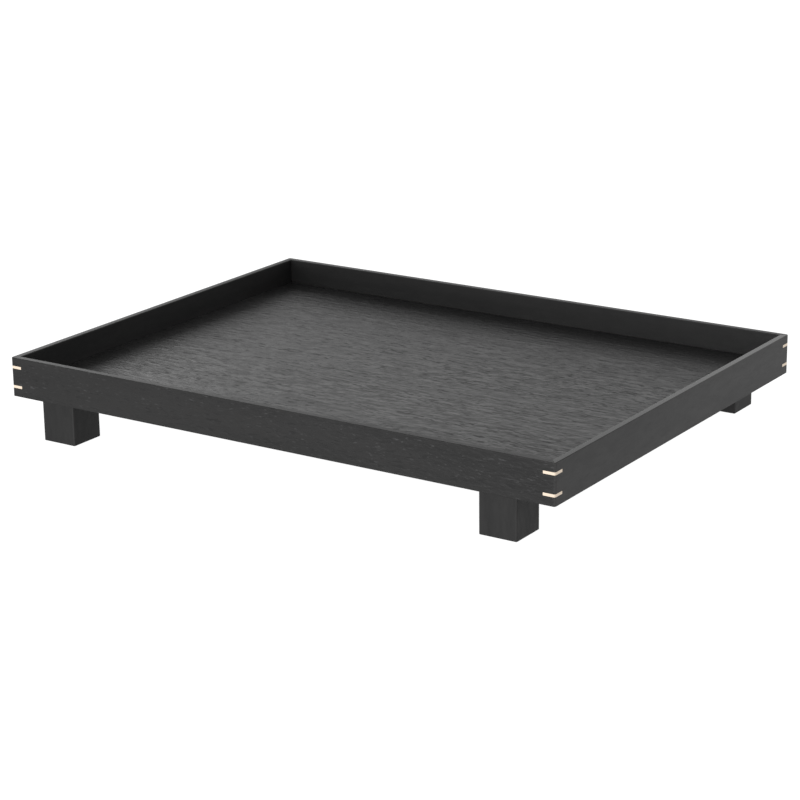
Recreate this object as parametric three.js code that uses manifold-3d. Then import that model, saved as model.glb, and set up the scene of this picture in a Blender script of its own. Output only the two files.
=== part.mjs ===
// Oak tray on block feet: four mitred walls with splined corners around a veneered floor panel.
// Millimetres, +Z up. The origin is on the ground under the middle of the tray.
// The long walls run along X, and the front wall faces -Y.
import * as THREE from "three";
import { mergeVertices } from "three/addons/utils/BufferGeometryUtils.js";
import Module from "manifold-3d";

// Walls
const trayLength = 450; // outside, along X
const trayWidth = 340; // outside, along Y
const wallHeight = 29;
const wallThickness = 5;
const cornerRadius = 1.4; // outer corners, seen from above
const edgeEase = 0.6; // rounding along the rims; the lower edges stay square, to meet the feet flush

// Floor panel: a core board with a veneer on each face
const floorLift = 3.8; // from the lower edge of the walls up to the underside of the panel
const coreThickness = 4.8;
const veneerThickness = 0.6;
const grooveDepth = 2.5; // how far the core's edge is let into a wall

// Corner splines, let into saw cuts across the mitres
const splineRows = ["lower", "upper"]; // evenly spaced up each corner
const splineThickness = 2;
const splineCover = 0.8; // wood left between a spline and the inner corner

// Feet
const footSize = 28.4; // square, seen from above
const footHeight = 29; // from the ground to the lower edge of the walls
const footInset = 27.6; // from the end of the tray
const footCorner = 1; // radius of a foot's upright edges
const footEase = 0.6; // rounding of a foot's lower and upper edges

// Dowels that hold the feet to the floor panel
const dowelDiameter = 6;
const dowelSpacing = 13; // between the two dowels of a foot
const dowelInFoot = 14; // length inside a foot
const dowelCover = 1.3; // core left above a dowel
const dowelChamfer = 0.7;

// Clearances
const glueLine = 0.1; // between glued faces
const panelPlay = 0.3; // between the core's edge and the bottom of its groove
const dowelPlay = 0.4; // room for glue past each end of a dowel

// Facets of the round shapes
const cornerSteps = 4;
const easeSteps = 3;
const dowelSides = 20;
const easeLimit = 0.8; // most of a corner's radius that the rounding of its edges may take

// Levels
const wallBottom = footHeight;
const panelBottom = wallBottom + floorLift;
const coreBottom = panelBottom + veneerThickness + glueLine;
const coreTop = coreBottom + coreThickness;
const floorBottom = coreTop + glueLine;
const footTop = panelBottom - glueLine;
const dowelBottom = footTop - dowelInFoot;
const dowelTop = coreTop - dowelCover;

// Plan sizes
const wellLength = trayLength - 2 * wallThickness;
const wellWidth = trayWidth - 2 * wallThickness;
const splineLeg = 2 * wallThickness - Math.SQRT2 * splineCover;
const cutMargin = wallThickness; // how far a cutter reaches past what it cuts
const wallEase = Math.min(edgeEase, easeLimit * cornerRadius);
const blockEase = Math.min(footEase, easeLimit * footCorner);

const blackOak = { color: 0x2c2b2b, roughness: 0.6, metalness: 0 };
const paleOak = { color: 0xe6cfae, roughness: 0.65, metalness: 0 };
const birchBoard = { color: 0xb99a6b, roughness: 0.8, metalness: 0 };
const beech = { color: 0xc79a6b, roughness: 0.75, metalness: 0 };

const quarterTurn = Math.PI / 2;
const corners = [
  { name: "front_right", x: 1, y: -1, turn: 0 },
  { name: "back_right", x: 1, y: 1, turn: quarterTurn },
  { name: "back_left", x: -1, y: 1, turn: 2 * quarterTurn },
  { name: "front_left", x: -1, y: -1, turn: 3 * quarterTurn },
];
const sides = [
  { name: "front_wall", run: trayLength, reach: trayWidth / 2, turn: 0 },
  { name: "right_wall", run: trayWidth, reach: trayLength / 2, turn: quarterTurn },
  { name: "back_wall", run: trayLength, reach: trayWidth / 2, turn: 2 * quarterTurn },
  { name: "left_wall", run: trayWidth, reach: trayLength / 2, turn: 3 * quarterTurn },
];

const wasm = await Module();
wasm.setup();

// A closed geometry as a solid that can be cut
function solidOf(geometry) {
  geometry.deleteAttribute("normal");
  geometry.deleteAttribute("uv");
  const merged = mergeVertices(geometry);
  return new wasm.Manifold(
    new wasm.Mesh({
      numProp: 3,
      vertProperties: merged.attributes.position.array,
      triVerts: new Uint32Array(merged.index.array),
    }),
  );
}

// A cut solid as a geometry again
function geometryOf(solid) {
  const mesh = solid.getMesh();
  const geometry = new THREE.BufferGeometry();
  geometry.setAttribute("position", new THREE.BufferAttribute(mesh.vertProperties, 3));
  geometry.setIndex(new THREE.BufferAttribute(mesh.triVerts, 1));
  geometry.computeVertexNormals();
  return geometry;
}

// Adds a named piece with its own material to a group
function addPiece(group, name, geometry, finish) {
  const piece = new THREE.Mesh(geometry, new THREE.MeshStandardMaterial(finish));
  piece.name = name;
  group.add(piece);
  return piece;
}

// A rectangle around the origin with round corners
function roundedRectangle(length, width, radius) {
  const x = length / 2 - radius;
  const y = width / 2 - radius;
  const outline = new THREE.Shape();
  outline.absarc(x, -y, radius, -quarterTurn, 0);
  outline.absarc(x, y, radius, 0, quarterTurn);
  outline.absarc(-x, y, radius, quarterTurn, 2 * quarterTurn);
  outline.absarc(-x, -y, radius, 2 * quarterTurn, 3 * quarterTurn);
  outline.closePath();
  return outline;
}

// A polygon through points given as [x, y]
function polygon(points) {
  return new THREE.Shape(points.map(([x, y]) => new THREE.Vector2(x, y)));
}

// An outline drawn up from a level, with square edges
function prism(outline, level, height) {
  const geometry = new THREE.ExtrudeGeometry(outline, {
    depth: height,
    bevelEnabled: false,
    curveSegments: cornerSteps,
  });
  return geometry.translate(0, 0, level);
}

// An outline drawn up from a level, with its upper and lower edges rounded
function easedPrism(outline, level, height, ease) {
  const geometry = new THREE.ExtrudeGeometry(outline, {
    depth: height - 2 * ease,
    bevelThickness: ease,
    bevelSize: ease,
    bevelOffset: -ease,
    bevelSegments: easeSteps,
    curveSegments: cornerSteps,
  });
  return geometry.translate(0, 0, level + ease);
}

// A box around the Z axis that stands on a level
function slab(length, width, level, height) {
  return new THREE.BoxGeometry(length, width, height).translate(0, 0, level + height / 2);
}

// An upright cylinder between two levels
function upright(diameter, place, bottom, top) {
  const cylinder = new THREE.CylinderGeometry(diameter / 2, diameter / 2, top - bottom, dowelSides);
  return cylinder.rotateX(quarterTurn).translate(place.x, place.y, (bottom + top) / 2);
}

// Middle height of a row of splines
function splineLevel(row) {
  return wallBottom + (wallHeight * (row + 0.5)) / splineRows.length;
}

// The saw cut for one spline, which runs right across its corner
function splineCut(corner, row) {
  const leg = splineLeg + Math.SQRT2 * glueLine;
  const outline = polygon([
    [-leg - cutMargin, -cutMargin],
    [cutMargin, -cutMargin],
    [cutMargin, leg + cutMargin],
  ]);
  const height = splineThickness + 2 * glueLine;
  const cutter = prism(outline, splineLevel(row) - height / 2, height).rotateZ(corner.turn);
  return solidOf(cutter.translate((corner.x * trayLength) / 2, (corner.y * trayWidth) / 2, 0));
}

const splineCuts = corners.flatMap((corner) => splineRows.map((_, row) => splineCut(corner, row)));

// Middle of a foot, seen from above
function footPlace(corner) {
  const x = corner.x * (trayLength / 2 - footInset - footSize / 2);
  const y = corner.y * (trayWidth / 2 - footSize / 2);
  return new THREE.Vector2(x, y);
}

// Dowels of a front foot, measured from the middle of the foot: they stand in the part inside the wall
const dowelSetback = (wallThickness + glueLine) / 2;
const dowelOffsets = [
  new THREE.Vector2(-dowelSpacing / 2, dowelSetback),
  new THREE.Vector2(dowelSpacing / 2, dowelSetback),
];

// Turn that faces a foot's rebate to its long wall
function footTurn(corner) {
  return corner.y < 0 ? 0 : 2 * quarterTurn;
}

// A dowel's place, measured from the middle of the tray
function dowelPlace(corner, offset) {
  const middle = new THREE.Vector2();
  return offset.clone().rotateAround(middle, footTurn(corner)).add(footPlace(corner));
}

// One ring with its groove and saw cuts, parted at the mitres into four walls
function buildWalls() {
  const walls = new THREE.Group();
  const outline = roundedRectangle(trayLength, trayWidth, cornerRadius);
  outline.holes.push(
    polygon([
      [-wellLength / 2, -wellWidth / 2],
      [-wellLength / 2, wellWidth / 2],
      [wellLength / 2, wellWidth / 2],
      [wellLength / 2, -wellWidth / 2],
    ]),
  );
  const groove = slab(
    wellLength + 2 * grooveDepth,
    wellWidth + 2 * grooveDepth,
    coreBottom - glueLine,
    coreThickness + 2 * glueLine,
  );
  const blank = solidOf(easedPrism(outline, wallBottom - wallEase, wallHeight + wallEase, wallEase));
  const trimming = slab(trayLength + cutMargin, trayWidth + cutMargin, wallBottom - cutMargin, cutMargin);
  let ring = blank.subtract(solidOf(trimming)).subtract(solidOf(groove));
  for (const cut of splineCuts) {
    ring = ring.subtract(cut);
  }
  for (const side of sides) {
    addPiece(walls, side.name, geometryOf(ring.intersect(mitreWedge(side))), blackOak);
  }
  return walls;
}

// The space between the two mitre planes of a wall, less half a glue line on each
function mitreWedge(side) {
  const shift = glueLine / Math.SQRT2;
  const outside = side.run / 2 + cutMargin - shift;
  const inside = side.run / 2 - wallThickness - cutMargin - shift;
  const outline = polygon([
    [-outside, -side.reach - cutMargin],
    [outside, -side.reach - cutMargin],
    [inside, -side.reach + wallThickness + cutMargin],
    [-inside, -side.reach + wallThickness + cutMargin],
  ]);
  const wedge = prism(outline, wallBottom - cutMargin, wallHeight + 2 * cutMargin);
  return solidOf(wedge.rotateZ(side.turn));
}

// Triangular keys, flush with the outer faces and rounded with the corner
function buildSplines() {
  const splines = new THREE.Group();
  const outline = new THREE.Shape();
  outline.moveTo(-splineLeg, 0);
  outline.lineTo(-cornerRadius, 0);
  outline.absarc(-cornerRadius, cornerRadius, cornerRadius, -quarterTurn, 0);
  outline.lineTo(0, splineLeg);
  outline.closePath();
  for (const corner of corners) {
    splineRows.forEach((rowName, row) => {
      const key = prism(outline, -splineThickness / 2, splineThickness);
      const piece = addPiece(splines, `${corner.name}_spline_${rowName}`, key, paleOak);
      piece.rotation.z = corner.turn;
      piece.position.set((corner.x * trayLength) / 2, (corner.y * trayWidth) / 2, splineLevel(row));
    });
  }
  return splines;
}

// Core in the groove, with a veneer above and below it between the walls
function buildFloor() {
  const floor = new THREE.Group();
  const veneerLength = wellLength - 2 * glueLine;
  const veneerWidth = wellWidth - 2 * glueLine;
  const edge = 2 * (grooveDepth - panelPlay);
  let core = solidOf(slab(wellLength + edge, wellWidth + edge, coreBottom, coreThickness));
  let base = solidOf(slab(veneerLength, veneerWidth, panelBottom, veneerThickness));
  for (const cut of splineCuts) {
    core = core.subtract(cut);
  }
  for (const corner of corners) {
    for (const offset of dowelOffsets) {
      const place = dowelPlace(corner, offset);
      const hole = solidOf(upright(dowelDiameter, place, footTop - glueLine, dowelTop + dowelPlay));
      core = core.subtract(hole);
      base = base.subtract(hole);
    }
  }
  const face = slab(veneerLength, veneerWidth, floorBottom, veneerThickness);
  addPiece(floor, "floor_core", geometryOf(core), birchBoard);
  addPiece(floor, "floor_veneer", face, blackOak);
  addPiece(floor, "base_veneer", geometryOf(base), blackOak);
  return floor;
}

// A block that rises behind the wall to the panel, with a rebate under the wall and two dowel holes
function footSolid() {
  const outline = roundedRectangle(footSize, footSize, footCorner);
  const block = solidOf(easedPrism(outline, 0, footTop, blockEase));
  const rebateDepth = wallThickness + glueLine;
  const rebate = slab(
    footSize + 2 * cutMargin,
    2 * rebateDepth,
    wallBottom - glueLine,
    floorLift + cutMargin,
  ).translate(0, -footSize / 2, 0);
  let foot = block.subtract(solidOf(rebate));
  for (const offset of dowelOffsets) {
    const hole = upright(dowelDiameter, offset, dowelBottom - dowelPlay, footTop + cutMargin);
    foot = foot.subtract(solidOf(hole));
  }
  return foot;
}

// A round pin with chamfered ends that stands on its origin
function dowelGeometry() {
  const radius = dowelDiameter / 2 - glueLine;
  const length = dowelTop - dowelBottom;
  const profile = [
    new THREE.Vector2(0, 0),
    new THREE.Vector2(radius - dowelChamfer, 0),
    new THREE.Vector2(radius, dowelChamfer),
    new THREE.Vector2(radius, length - dowelChamfer),
    new THREE.Vector2(radius - dowelChamfer, length),
    new THREE.Vector2(0, length),
  ];
  return new THREE.LatheGeometry(profile, dowelSides).rotateX(quarterTurn);
}

// Four feet, each in a group with its dowels
function buildFeet() {
  const feet = new THREE.Group();
  const foot = footSolid();
  for (const corner of corners) {
    const stand = new THREE.Group();
    const place = footPlace(corner);
    stand.position.set(place.x, place.y, 0);
    stand.rotation.z = footTurn(corner);
    addPiece(stand, `${corner.name}_foot`, geometryOf(foot), blackOak);
    dowelOffsets.forEach((offset, index) => {
      const dowel = addPiece(stand, `${corner.name}_dowel_${index + 1}`, dowelGeometry(), beech);
      dowel.position.set(offset.x, offset.y, dowelBottom);
    });
    feet.add(stand);
  }
  return feet;
}

const tray = new THREE.Group();
tray.add(buildWalls(), buildSplines(), buildFloor(), buildFeet());

export default tray;
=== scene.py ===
# Looks of the black oak tray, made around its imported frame. Metres, +Z up, the front wall faces -Y
import math

import bmesh
import bpy
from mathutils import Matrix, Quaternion, Vector


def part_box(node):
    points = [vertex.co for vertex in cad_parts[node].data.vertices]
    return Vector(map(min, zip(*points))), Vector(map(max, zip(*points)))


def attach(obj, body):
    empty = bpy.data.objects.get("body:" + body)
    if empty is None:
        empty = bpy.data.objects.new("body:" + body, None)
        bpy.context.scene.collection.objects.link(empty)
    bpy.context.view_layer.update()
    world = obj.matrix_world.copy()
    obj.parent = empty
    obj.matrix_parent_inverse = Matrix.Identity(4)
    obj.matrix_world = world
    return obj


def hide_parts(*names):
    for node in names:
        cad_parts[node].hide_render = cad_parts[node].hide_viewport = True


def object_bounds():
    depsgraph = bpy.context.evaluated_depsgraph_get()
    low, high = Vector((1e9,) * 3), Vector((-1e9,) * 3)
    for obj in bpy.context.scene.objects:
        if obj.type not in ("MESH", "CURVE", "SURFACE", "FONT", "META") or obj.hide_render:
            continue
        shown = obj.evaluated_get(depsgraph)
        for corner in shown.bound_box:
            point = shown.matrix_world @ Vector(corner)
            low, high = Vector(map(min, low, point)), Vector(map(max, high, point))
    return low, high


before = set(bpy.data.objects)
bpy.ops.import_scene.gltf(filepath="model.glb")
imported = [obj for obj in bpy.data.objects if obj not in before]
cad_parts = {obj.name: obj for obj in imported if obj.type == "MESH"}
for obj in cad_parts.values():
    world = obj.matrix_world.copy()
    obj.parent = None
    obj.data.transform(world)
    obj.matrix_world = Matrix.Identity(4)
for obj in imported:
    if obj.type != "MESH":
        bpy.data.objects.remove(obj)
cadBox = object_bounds()
print("frame:", len(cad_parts), "pieces")

scene = bpy.context.scene
quarterTurn = math.pi / 2
millimetre = 0.001
hair = 1e-6  # closer than this counts as the same place
uprightLeast = 0.99  # how steep an upright edge is, where 1 is plumb
standingMost = 0.5  # how far a standing face's normal may point up or down
sharpAngle = math.radians(35)  # edges that turn by more are shaded sharp
white = (1, 1, 1, 1)
facings = {
    "front": Vector((0, -1, 0)),
    "back": Vector((0, 1, 0)),
    "left": Vector((-1, 0, 0)),
    "right": Vector((1, 0, 0)),
}
corners = [f"{side}_{end}" for side in ("front", "back") for end in ("left", "right")]
rows = ("lower", "upper")


# camera, at the angle of the photograph
cameraSet = {
    "azimuth": 33.7276,  # degrees round from the front towards the right
    "elevation": 17.4284,
    "roll": -0.7467,
    "distance": 1.6832,
    "lens": 108.688,
    "sensor": 36.0,
    "target": (0.03879, -0.06326, 0.04),
}


def placeCamera():
    turn = math.radians(cameraSet["azimuth"])
    lift = math.radians(cameraSet["elevation"])
    away = Vector((math.sin(turn) * math.cos(lift), -math.cos(turn) * math.cos(lift), math.sin(lift)))
    lens = bpy.data.cameras.new("trayCamera")
    lens.lens = cameraSet["lens"]
    lens.sensor_width = cameraSet["sensor"]
    camera = bpy.data.objects.new("trayCamera", lens)
    scene.collection.objects.link(camera)
    camera.location = Vector(cameraSet["target"]) + away * cameraSet["distance"]
    camera.rotation_mode = "QUATERNION"
    roll = Quaternion((0, 0, 1), math.radians(cameraSet["roll"]))
    camera.rotation_quaternion = (-away).to_track_quat("-Z", "Y") @ roll
    scene.camera = camera


placeCamera()
print("camera placed")


# material helpers
def addNode(tree, kind, sockets=None, **settings):  # sockets by name or number, each linked or set
    node = tree.nodes.new(kind)
    for name, value in settings.items():
        setattr(node, name, value)
    for socket, value in (sockets or {}).items():
        if isinstance(value, bpy.types.NodeSocket):
            tree.links.new(value, node.inputs[socket])
        else:
            node.inputs[socket].default_value = value
    return node


def newFinish(name):
    finish = bpy.data.materials.new(name)
    finish.use_nodes = True
    tree = finish.node_tree
    return finish, tree, tree.nodes["Principled BSDF"]


def grainPlace(tree, turn):  # places in a board, turned so that the grain runs along X
    where = addNode(tree, "ShaderNodeTexCoord").outputs["Object"]
    return addNode(tree, "ShaderNodeMapping", {"Vector": where, "Rotation": turn}).outputs["Vector"]


noiseRoughness = 0.55  # how strong the finer part of a noise is


def woodNoise(tree, place, size, shift, detail=2.0):  # noise drawn out along the grain, between 0 and 1
    long, wide = size
    stretch = {"Vector": place, "Location": (shift,) * 3, "Scale": (1 / long, 1 / wide, 1 / wide)}
    drawn = addNode(tree, "ShaderNodeMapping", stretch).outputs["Vector"]
    sockets = {"Vector": drawn, "Scale": 1.0, "Detail": detail, "Roughness": noiseRoughness}
    return addNode(tree, "ShaderNodeTexNoise", sockets).outputs["Fac"]


def spread(tree, value, low, high, least, most, kind="SMOOTHSTEP"):  # one stretch of values into another
    sockets = {"Value": value, "From Min": low, "From Max": high, "To Min": least, "To Max": most}
    return addNode(tree, "ShaderNodeMapRange", sockets, interpolation_type=kind).outputs["Result"]


def combine(tree, operation, *values):
    return addNode(tree, "ShaderNodeMath", dict(enumerate(values)), operation=operation).outputs[0]


def mixColours(tree, amount, first, second):
    sockets = {0: amount, 6: first, 7: second}  # by number, since other sockets have the same names
    return addNode(tree, "ShaderNodeMix", sockets, data_type="RGBA").outputs[2]


def addRelief(tree, shader, height):  # heights in millimetres
    bump = addNode(tree, "ShaderNodeBump", {"Strength": 1.0, "Distance": millimetre, "Height": height})
    tree.links.new(bump.outputs["Normal"], shader.inputs["Normal"])


# black oak: an open grain under a black stain and a thin satin lacquer
alongX = (0, 0, 0)
alongY = (0, 0, -quarterTurn)
alongZ = (0, quarterTurn, 0)
oakSet = {
    "stainDeep": (0.0045, 0.0045, 0.0046, 1),  # linear colours
    "stainThin": (0.0105, 0.0103, 0.0102, 1),
    "fleckColour": (0.04, 0.04, 0.041, 1),
    # a lighter colour painted on upright corners and on a rim: a painted highlight
    "highlightColour": (0.05, 0.0495, 0.049, 1),
    "highlightReach": 0.0014,  # how far the painted highlight reaches from an upright corner along each face
    "rimReach": 0.0006,  # down from the top of a wall
    "rimHighlightFade": 0.13,  # from the middle of the tray forwards, to where a rim's painted highlight ends
    "sway": 0.006,  # how far the grain wanders sideways
    "swaySize": (0.16, 0.06),
    "poreGloss": 0.6,  # roughness in the pores
    "poreRelief": 0.03,
    "poreCrowding": 0.07,  # how much sooner pores open in the early wood
    "poreThin": 0.1,  # what is left of the thin stain in a pore
    "figureShare": 0.6,  # of the thin stain, the streaks have the rest
    "streakShare": 0.6,  # of the glossy bands, the dashes have the rest
    "bandMiddle": 0.5,
    "bandReach": 0.12,  # from the middle to the smoothest and to the dullest
    "calmBands": 0.45,  # what is left of the bands in the calm stretches of the figure
    # the stretch of a pattern's values over which something comes in
    "ringRange": (0.35, 0.65),
    "poreRange": (0.58, 0.7),
    "thinRange": (0.3, 0.7),
    "fleckRange": (0.61, 0.8),
    "fleckGroupRange": (0.32, 0.55),
    "calmRange": (0.35, 0.65),
}
# patterns in the grain: length along it and width across it, a shift that sets them apart, and fineness
oakPatterns = {
    "figure": {"size": (0.22, 0.028), "shift": 1, "detail": 2.0},
    "rings": {"size": (0.35, 0.0045), "shift": 3, "detail": 2.0},
    "streaks": {"size": (0.017, 0.0048), "shift": 7, "detail": 2.0},
    "dashes": {"size": (0.006, 0.003), "shift": 9, "detail": 2.0},
    "pores": {"size": (0.007, 0.0015), "shift": 11, "detail": 1.0},
    "flecks": {"size": (0.0042, 0.0013), "shift": 17, "detail": 1.0},
    "fleckGroups": {"size": (0.045, 0.02), "shift": 27, "detail": 2.0},
}
# what differs between boards: the way of the grain and where its patterns start, how strongly the lacquer
# mirrors (ior), roughness least and most, relief in millimetres of the streaks, dashes and rings, how much
# pores, flecks and the painted highlight on upright corners show, from 0 to 1, and for a wall its rim's
# roughness and painted highlight
oakBoards = {
    "floorOak": {
        "turn": alongX, "seed": 67.0, "ior": 1.31, "gloss": (0.29, 0.46),
        "relief": (0.5, 0.28, 0.05), "pores": 1.0, "flecks": 0.0, "worn": 0.0, "rim": None,
    },
    "frontOak": {
        "turn": alongX, "seed": 3.0, "ior": 1.31, "gloss": (0.34, 0.46),
        "relief": (0.34, 0.22, 0.06), "pores": 1.0, "flecks": 0.6, "worn": 0.55, "rim": (0.49, 0.0),
    },
    "backOak": {
        "turn": alongX, "seed": 31.0, "ior": 1.33, "gloss": (0.43, 0.47),
        "relief": (0.06, 0.03, 0.03), "pores": 0.3, "flecks": 0.0, "worn": 0.55, "rim": (0.45, 0.0),
    },
    "leftOak": {
        "turn": alongY, "seed": 57.0, "ior": 1.31, "gloss": (0.47, 0.51),
        "relief": (0.05, 0.03, 0.02), "pores": 0.3, "flecks": 0.0, "worn": 0.55, "rim": (0.5, 0.0),
    },
    "rightOak": {
        "turn": alongY, "seed": 21.0, "ior": 1.262, "gloss": (0.37, 0.4),
        "relief": (0.03, 0.02, 0.02), "pores": 0.12, "flecks": 0.0, "worn": 1.0, "rim": (0.22, 0.75),
    },
    "footOak": {
        "turn": alongZ, "seed": 43.0, "ior": 1.31, "gloss": (0.58, 0.64),
        "relief": (0.04, 0.02, 0.02), "pores": 0.15, "flecks": 0.0, "worn": 0.25, "rim": None,
    },
}


def oakGrain(tree, board):  # all patterns of a board, along a grain that wanders a little
    straight = grainPlace(tree, board["turn"])
    sway = woodNoise(tree, straight, oakSet["swaySize"], board["seed"])
    sway = spread(tree, sway, 0, 1, -oakSet["sway"], oakSet["sway"], "LINEAR")
    aside = addNode(tree, "ShaderNodeCombineXYZ", {"Y": sway, "Z": sway}).outputs["Vector"]
    bent = addNode(tree, "ShaderNodeVectorMath", {0: straight, 1: aside}, operation="ADD").outputs["Vector"]
    grain = {}
    for name, noise in oakPatterns.items():
        grain[name] = woodNoise(tree, bent, noise["size"], board["seed"] + noise["shift"], noise["detail"])
    most = oakSet["poreCrowding"]
    crowding = spread(tree, grain["rings"], *oakSet["ringRange"], -most, most)
    poreField = combine(tree, "ADD", grain["pores"], crowding)
    grain["pores"] = spread(tree, poreField, *oakSet["poreRange"], 0, board["pores"])
    return grain


def oakStain(tree, board, grain):  # the stain's colour, with flecks
    fromFigure = spread(tree, grain["figure"], *oakSet["thinRange"], 0, oakSet["figureShare"])
    fromStreaks = spread(tree, grain["streaks"], *oakSet["thinRange"], 0, 1 - oakSet["figureShare"])
    outsidePores = spread(tree, grain["pores"], 0, 1, 1, oakSet["poreThin"], "LINEAR")
    thin = combine(tree, "MULTIPLY", combine(tree, "ADD", fromFigure, fromStreaks), outsidePores)
    colour = mixColours(tree, thin, oakSet["stainDeep"], oakSet["stainThin"])
    groups = spread(tree, grain["fleckGroups"], *oakSet["fleckGroupRange"], 0, board["flecks"])
    flecks = combine(tree, "MULTIPLY", spread(tree, grain["flecks"], *oakSet["fleckRange"], 0, 1), groups)
    return mixColours(tree, flecks, colour, oakSet["fleckColour"])


def oakGloss(tree, board, grain):  # what stands up is polished smoother, and pores stay dull
    streaks = combine(tree, "MULTIPLY", grain["streaks"], oakSet["streakShare"])
    dashes = combine(tree, "MULTIPLY", grain["dashes"], 1 - oakSet["streakShare"])
    bands = combine(tree, "SUBTRACT", combine(tree, "ADD", streaks, dashes), oakSet["bandMiddle"])
    calm = spread(tree, grain["figure"], *oakSet["calmRange"], oakSet["calmBands"], 1)
    bands = combine(tree, "MULTIPLY", bands, calm)
    smoothest, dullest = board["gloss"]
    gloss = spread(tree, bands, -oakSet["bandReach"], oakSet["bandReach"], dullest, smoothest)
    return spread(tree, grain["pores"], 0, 1, gloss, oakSet["poreGloss"], "LINEAR")


def oakHeight(tree, board, grain):
    height = combine(tree, "MULTIPLY", grain["pores"], -oakSet["poreRelief"])
    for name, relief in zip(("streaks", "dashes", "rings"), board["relief"]):
        height = combine(tree, "ADD", height, combine(tree, "MULTIPLY", grain[name], relief))
    return height


def paintedCornerHighlight(tree, along, block):  # 1 at the upright corners of a block, mirrored to all four quarters, where a highlight is painted
    depths = []
    for axis, low, high in zip("XY", *block):
        mirrored = combine(tree, "ABSOLUTE", along.outputs[axis])
        aside = combine(tree, "SUBTRACT", mirrored, (low + high) / 2)
        depths.append(combine(tree, "SUBTRACT", (high - low) / 2, combine(tree, "ABSOLUTE", aside)))
    return spread(tree, combine(tree, "MAXIMUM", *depths), 0, oakSet["highlightReach"], 1, 0)


def rimFlat(tree, along):  # 1 on the flat of a rim
    top = cadBox[1].z
    return spread(tree, along.outputs["Z"], top - oakSet["rimReach"], top, 0, 1)


def paintedRimHighlight(tree, along, rim):  # the rim's painted highlight, fading out towards the front
    behind = spread(tree, along.outputs["Y"], -oakSet["rimHighlightFade"], oakSet["rimHighlightFade"], 0, 1)
    return combine(tree, "MULTIPLY", rim, behind)


def blackOak(name):
    board = oakBoards[name]
    finish, tree, shader = newFinish(name)
    grain = oakGrain(tree, board)
    colour = oakStain(tree, board, grain)
    gloss = oakGloss(tree, board, grain)
    where = addNode(tree, "ShaderNodeTexCoord").outputs["Object"]
    along = addNode(tree, "ShaderNodeSeparateXYZ", {"Vector": where})
    # upright corners painted lighter: a painted highlight
    if board["worn"]:
        block = cadBox if board["rim"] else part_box("back_right_foot")
        worn = combine(tree, "MULTIPLY", paintedCornerHighlight(tree, along, block), board["worn"])
        colour = mixColours(tree, worn, colour, oakSet["highlightColour"])
    if board["rim"]:
        rimGloss, rimHighlight = board["rim"]
        rim = rimFlat(tree, along)
        gloss = spread(tree, rim, 0, 1, gloss, rimGloss, "LINEAR")
        # the rim painted lighter towards the back: a painted highlight
        worn = combine(tree, "MULTIPLY", paintedRimHighlight(tree, along, rim), rimHighlight)
        colour = mixColours(tree, worn, colour, oakSet["highlightColour"])
    tree.links.new(colour, shader.inputs["Base Color"])
    tree.links.new(gloss, shader.inputs["Roughness"])
    shader.inputs["IOR"].default_value = board["ior"]
    addRelief(tree, shader, oakHeight(tree, board, grain))
    return finish


# pale woods: natural oak for the splines, birch for the board, beech for the dowels
paleWoods = {
    "splineOak": {
        "turn": alongX, "seed": 5.0, "pale": (0.565, 0.475, 0.38, 1), "deep": (0.48, 0.385, 0.29, 1),
        "lineSize": (0.02, 0.0005), "roughness": 0.5, "relief": 0.01,
    },
    "coreBirch": {
        "turn": alongX, "seed": 9.0, "pale": (0.56, 0.40, 0.21, 1), "deep": (0.40, 0.26, 0.12, 1),
        "lineSize": (0.09, 0.0012), "roughness": 0.8, "relief": 0.02,
    },
    "dowelBeech": {
        "turn": alongZ, "seed": 13.0, "pale": (0.60, 0.35, 0.17, 1), "deep": (0.46, 0.24, 0.11, 1),
        "lineSize": (0.004, 0.0006), "roughness": 0.7, "relief": 0.02,
    },
}
paleLineRange = (0.4, 0.75)  # the stretch of the noise over which a line darkens


def paleWood(name):
    wood = paleWoods[name]
    finish, tree, shader = newFinish(name)
    lines = woodNoise(tree, grainPlace(tree, wood["turn"]), wood["lineSize"], wood["seed"])
    colour = mixColours(tree, spread(tree, lines, *paleLineRange, 0, 1), wood["pale"], wood["deep"])
    tree.links.new(colour, shader.inputs["Base Color"])
    shader.inputs["Roughness"].default_value = wood["roughness"]
    addRelief(tree, shader, combine(tree, "MULTIPLY", lines, wood["relief"]))
    return finish


finishes = {name: blackOak(name) for name in oakBoards}
finishes.update({name: paleWood(name) for name in paleWoods})
print("finishes made:", ", ".join(finishes))


# modelling helpers
def stock(low, high):  # a block of wood between two corners
    shape = bmesh.new()
    bmesh.ops.create_cube(shape, size=1)
    bmesh.ops.scale(shape, vec=high - low, verts=shape.verts)
    bmesh.ops.translate(shape, vec=(low + high) / 2, verts=shape.verts)
    return shape


def drawOut(shape, faces, along):  # flat faces drawn out into a solid
    drawn = bmesh.ops.extrude_face_region(shape, geom=faces, use_keep_orig=True)["geom"]
    ends = [item for item in drawn if isinstance(item, bmesh.types.BMVert)]
    bmesh.ops.translate(shape, vec=along, verts=ends)
    bmesh.ops.recalc_face_normals(shape, faces=shape.faces)


def outlineSolid(points, along):
    shape = bmesh.new()
    outline = [shape.verts.new(point) for point in points]
    drawOut(shape, bmesh.ops.contextual_create(shape, geom=outline)["faces"], along)
    return shape


def roundEdges(shape, edges, radius, steps):
    bmesh.ops.bevel(
        shape, geom=edges, offset=radius, offset_type="OFFSET", segments=steps,
        profile=0.5, affect="EDGES", material=-1, clamp_overlap=False,
    )


def steepness(edge):
    first, second = edge.verts
    return abs((first.co - second.co).normalized().z)


def uprightEdges(shape):
    return [edge for edge in shape.edges if steepness(edge) > uprightLeast]


def levelEdges(shape, level):  # edges at one level between a flat face and a standing one
    found = []
    for edge in shape.edges:
        flat = all(abs(vert.co.z - level) < hair for vert in edge.verts)
        if flat and any(abs(face.normal.z) < standingMost for face in edge.link_faces):
            found.append(edge)
    return found


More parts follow.
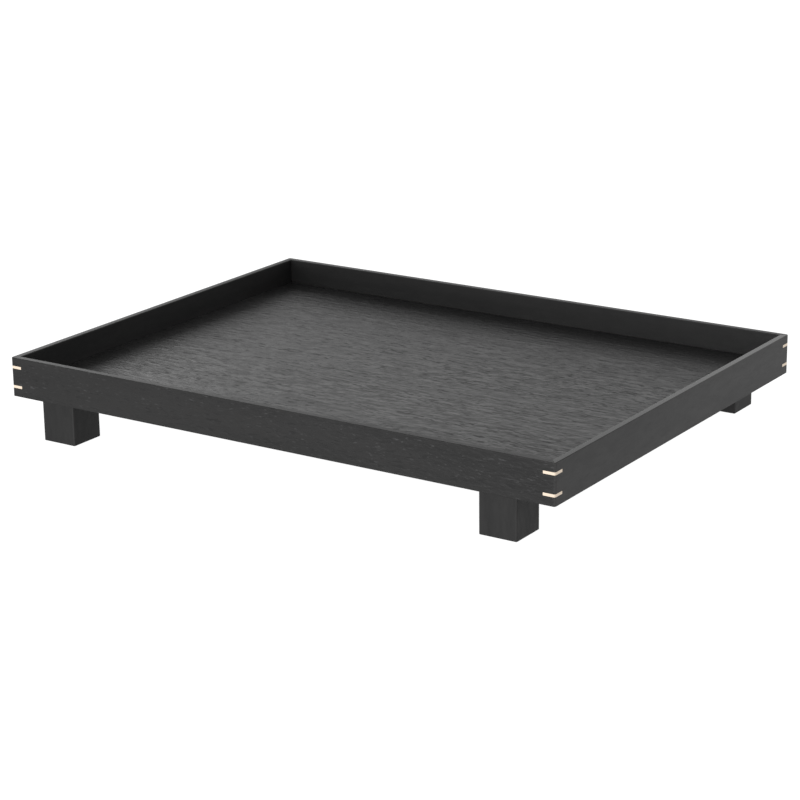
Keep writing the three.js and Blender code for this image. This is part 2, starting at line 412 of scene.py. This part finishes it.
def looseObject(name, shape):
    mesh = bpy.data.meshes.new(name)
    shape.to_mesh(mesh)
    shape.free()
    piece = bpy.data.objects.new(name, mesh)
    scene.collection.objects.link(piece)
    return piece


def cutAway(piece, cutters):  # takes the shapes of the cutters out of a piece for good
    for cutter in cutters:
        cut = piece.modifiers.new(cutter.name, "BOOLEAN")
        cut.operation = "DIFFERENCE"
        cut.solver = "EXACT"
        cut.object = cutter
    bpy.context.view_layer.update()
    whole = piece.data
    evaluated = piece.evaluated_get(bpy.context.evaluated_depsgraph_get())
    piece.data = bpy.data.meshes.new_from_object(evaluated)
    piece.modifiers.clear()
    bpy.data.meshes.remove(whole)


def putAway(cutters):
    for cutter in cutters:
        bpy.data.meshes.remove(cutter.data)  # takes its object along


def camelName(node):  # front_left_foot becomes frontLeftFoot
    first, *others = node.split("_")
    return first + "".join(word.capitalize() for word in others)


def finishPiece(shape, node, finish, cutters=()):
    piece = looseObject(camelName(node), shape)
    if cutters:
        cutAway(piece, cutters)
    piece.data.materials.clear()
    piece.data.materials.append(finishes[finish])
    piece.data.shade_smooth()
    piece.data.set_sharp_from_angle(angle=sharpAngle)
    shade = piece.modifiers.new("evenShading", "WEIGHTED_NORMAL")
    shade.keep_sharp = True
    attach(piece, "root")
    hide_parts(node)


# walls: one ring, parted at the mitres, with a groove for the floor and saw cuts for the splines
wallSet = {
    "rimRound": 0.0006,
    "rimSteps": 4,
    "cornerRound": 0.0014,
    "cornerSteps": 6,
    "lowerEase": 0.00006,
    "lowerSteps": 2,
    "mitreGap": 0.000005,  # to the mitre plane, on each side
    "slotPlay": 0.00003,  # around a spline and the floor board
    "cutterReach": 0.005,
}
trayHigh = cadBox[1]
wallLow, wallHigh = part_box("front_wall")
wallThickness = wallHigh.y - wallLow.y


def atTrayCorner(vert):
    return all(abs(abs(vert.co[axis]) - trayHigh[axis]) < hair for axis in (0, 1))


def wallRing():
    ring = bmesh.new()
    bmesh.ops.create_grid(ring, x_segments=3, y_segments=3, size=1)
    for vert in ring.verts:
        for axis in (0, 1):
            outside = abs(vert.co[axis]) > 0.5  # the grid's outer lines are at 1, its inner ones at a third
            reach = trayHigh[axis] if outside else trayHigh[axis] - wallThickness
            vert.co[axis] = math.copysign(reach, vert.co[axis])
        vert.co.z = wallLow.z
    well = min(ring.faces, key=lambda face: face.calc_center_median().xy.length)
    bmesh.ops.delete(ring, geom=[well], context="FACES")
    drawOut(ring, ring.faces[:], Vector((0, 0, wallHigh.z - wallLow.z)))
    tips = [edge for edge in uprightEdges(ring) if atTrayCorner(edge.verts[0])]
    roundEdges(ring, tips, wallSet["cornerRound"], wallSet["cornerSteps"])
    roundEdges(ring, levelEdges(ring, wallHigh.z), wallSet["rimRound"], wallSet["rimSteps"])
    roundEdges(ring, levelEdges(ring, wallLow.z), wallSet["lowerEase"], wallSet["lowerSteps"])
    return ring


def mitre(ring, facing):  # the part of the ring between the two mitres of one side
    wall = ring.copy()
    across = Vector((-facing.y, facing.x, 0))
    for end in (1, -1):
        normal = (across * end - facing).normalized()
        reach = across * end + facing
        tip = Vector((trayHigh.x * reach.x, trayHigh.y * reach.y, 0))
        bmesh.ops.bisect_plane(
            wall, geom=wall.verts[:] + wall.edges[:] + wall.faces[:], dist=hair,
            plane_co=tip - normal * wallSet["mitreGap"], plane_no=normal, clear_outer=True,
        )
        bmesh.ops.holes_fill(wall, edges=[edge for edge in wall.edges if edge.is_boundary], sides=0)
    bmesh.ops.recalc_face_normals(wall, faces=wall.faces)
    return wall


def inwards(corner):  # the directions from a corner of the tray along its two walls
    side, end = corner.split("_")
    return -facings[end], -facings[side]


def trayCorner(corner, level):
    inX, inY = inwards(corner)
    return Vector((-inX.x * trayHigh.x, -inY.y * trayHigh.y, level))


def slotCutter(corner, row):
    low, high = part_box(f"{corner}_spline_{row}")
    inX, inY = inwards(corner)
    play = wallSet["slotPlay"]
    reach = wallSet["cutterReach"]
    leg = high.x - low.x + math.sqrt(2) * play + 2 * reach
    start = trayCorner(corner, low.z - play) - (inX + inY) * reach
    height = Vector((0, 0, high.z - low.z + 2 * play))
    shape = outlineSolid([start, start + inX * leg, start + inY * leg], height)
    return looseObject(f"{corner}_{row}_slot", shape)


def makeWalls():
    ring = wallRing()
    coreLow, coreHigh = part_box("floor_core")
    play = Vector((wallSet["slotPlay"],) * 3)
    groove = looseObject("grooveCutter", stock(coreLow - play, coreHigh + play))
    slots = [slotCutter(corner, row) for corner in corners for row in rows]
    for side, facing in facings.items():
        ownSlots = [slot for slot in slots if side in slot.name]
        finishPiece(mitre(ring, facing), f"{side}_wall", f"{side}Oak", [groove] + ownSlots)
    ring.free()
    putAway([groove] + slots)


makeWalls()
print("walls made")


# splines: thin keys across the corners, sanded flush
splineSet = {"ease": 0.00005, "easeSteps": 2}


def makeSpline(corner, row):
    node = f"{corner}_spline_{row}"
    low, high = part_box(node)
    inX, inY = inwards(corner)
    tip = trayCorner(corner, low.z)
    leg = high.x - low.x
    shape = outlineSolid([tip, tip + inX * leg, tip + inY * leg], Vector((0, 0, high.z - low.z)))
    nose = [edge for edge in uprightEdges(shape) if atTrayCorner(edge.verts[0])]
    roundEdges(shape, nose, wallSet["cornerRound"], wallSet["cornerSteps"])
    rims = levelEdges(shape, low.z) + levelEdges(shape, high.z)
    roundEdges(shape, rims, splineSet["ease"], splineSet["easeSteps"])
    finishPiece(shape, node, "splineOak")


for corner in corners:
    for row in rows:
        makeSpline(corner, row)
print("splines made")


# floor: one sheet of veneer between the walls
floorSet = {"ease": 0.0001, "easeSteps": 2}


def makeFloor():
    low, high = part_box("floor_veneer")
    sheet = stock(low, high)
    roundEdges(sheet, levelEdges(sheet, high.z), floorSet["ease"], floorSet["easeSteps"])
    finishPiece(sheet, "floor_veneer", "floorOak")


makeFloor()
print("floor made")


# feet: blocks with a rebate under the wall, each bored for two dowels
footSet = {
    "cornerRound": 0.001,
    "cornerSteps": 6,
    "soleEase": 0.0006,
    "soleSteps": 4,
    "rebateGap": 0.00002,
    "borePlay": 0.00005,  # around a dowel
    "boreSides": 32,
}
dowelSet = {"flutes": 16, "fluteDepth": 0.0002, "chamfer": 0.0007, "chamferSteps": 1}


def dowelAxis(node):  # foot, radius and length of an upright dowel
    low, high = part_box(node)
    base = Vector(((low.x + high.x) / 2, (low.y + high.y) / 2, low.z))
    return base, (high.x - low.x) / 2, high.z - low.z


def boreCutter(node):
    base, radius, length = dowelAxis(node)
    play = footSet["borePlay"]
    shape = bmesh.new()
    bmesh.ops.create_cone(
        shape, cap_ends=True, segments=footSet["boreSides"],
        radius1=radius + play, radius2=radius + play, depth=length + 2 * play,
    )
    bmesh.ops.translate(shape, vec=base + Vector((0, 0, length / 2)), verts=shape.verts)
    return looseObject(f"{node}_bore", shape)


def makeDowel(node):
    base, radius, length = dowelAxis(node)
    sides = 2 * dowelSet["flutes"]
    shape = bmesh.new()
    end = bmesh.ops.create_circle(shape, cap_ends=True, segments=sides, radius=radius)["verts"]
    for vert in end[::2]:
        vert.co *= 1 - dowelSet["fluteDepth"] / radius
    bmesh.ops.translate(shape, vec=base, verts=end)
    drawOut(shape, shape.faces[:], Vector((0, 0, length)))
    rims = levelEdges(shape, base.z) + levelEdges(shape, base.z + length)
    roundEdges(shape, rims, dowelSet["chamfer"], dowelSet["chamferSteps"])
    finishPiece(shape, node, "dowelBeech")


def makeFoot(corner):
    low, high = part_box(f"{corner}_foot")
    outwards = -1 if corner.startswith("front") else 1
    outer, inner = (low.y, high.y) if outwards < 0 else (high.y, low.y)
    cheek = outer - outwards * (wallThickness + footSet["rebateGap"])
    shoulder = wallLow.z - footSet["rebateGap"]
    profile = [
        (low.x, outer, low.z), (low.x, inner, low.z), (low.x, inner, high.z),
        (low.x, cheek, high.z), (low.x, cheek, shoulder), (low.x, outer, shoulder),
    ]
    shape = outlineSolid(profile, Vector((high.x - low.x, 0, 0)))
    arrises = [edge for edge in uprightEdges(shape) if abs(edge.verts[0].co.y - cheek) > hair]
    roundEdges(shape, arrises, footSet["cornerRound"], footSet["cornerSteps"])
    roundEdges(shape, levelEdges(shape, low.z), footSet["soleEase"], footSet["soleSteps"])
    dowels = [f"{corner}_dowel_{number}" for number in (1, 2)]
    bores = [boreCutter(dowel) for dowel in dowels]
    finishPiece(shape, f"{corner}_foot", "footOak", bores)
    putAway(bores)
    for dowel in dowels:
        makeDowel(dowel)


for corner in corners:
    makeFoot(corner)
print("feet and dowels made")


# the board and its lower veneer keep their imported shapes
for node, finish in {"floor_core": "coreBirch", "base_veneer": "floorOak"}.items():
    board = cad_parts[node].data
    board.materials.clear()
    board.materials.append(finishes[finish])
print("board finished")


# studio: a pale floor that glows a little, as a light table does, under a white surround
studioSet = {
    "surround": 1.06,
    "floorSize": 14.0,
    "floorColour": (0.06, 0.06, 0.06, 1),
    "floorRoughness": 0.9,
    "floorGlow": 1.0,
    "lamps": {
        "keyLamp": {"at": (-0.15, -2.185, 0.23), "size": (1.0, 0.5), "power": 36.0},
        "sideLamp": {"at": (-1.96, 1.13, 1.06), "size": (1.2, 1.2), "power": 8.5},
    },
}


def makeSurround():
    world = bpy.data.worlds.new("surround")
    world.use_nodes = True
    sky = world.node_tree.nodes["Background"]
    sky.inputs["Color"].default_value = white
    sky.inputs["Strength"].default_value = studioSet["surround"]
    scene.world = world


def makePaleFloor():
    shape = bmesh.new()
    bmesh.ops.create_grid(shape, x_segments=1, y_segments=1, size=studioSet["floorSize"] / 2)
    floor = looseObject("paleFloor", shape)
    finish, tree, shader = newFinish("paleFloor")
    shader.inputs["Base Color"].default_value = studioSet["floorColour"]
    shader.inputs["Roughness"].default_value = studioSet["floorRoughness"]
    shader.inputs["Emission Color"].default_value = white
    shader.inputs["Emission Strength"].default_value = studioSet["floorGlow"]
    floor.data.materials.append(finish)


def makeLamp(name, settings):  # aimed at the ground under the middle of the tray
    lamp = bpy.data.lights.new(name, "AREA")
    lamp.shape = "RECTANGLE"
    lamp.size, lamp.size_y = settings["size"]
    lamp.energy = settings["power"]
    holder = bpy.data.objects.new(name, lamp)
    scene.collection.objects.link(holder)
    holder.location = settings["at"]
    holder.rotation_euler = (-Vector(settings["at"])).to_track_quat("-Z", "Y").to_euler()
    holder.visible_camera = False


makeSurround()
makePaleFloor()
for name, settings in studioSet["lamps"].items():
    makeLamp(name, settings)
scene.view_settings.view_transform = "Standard"
print("studio lit")
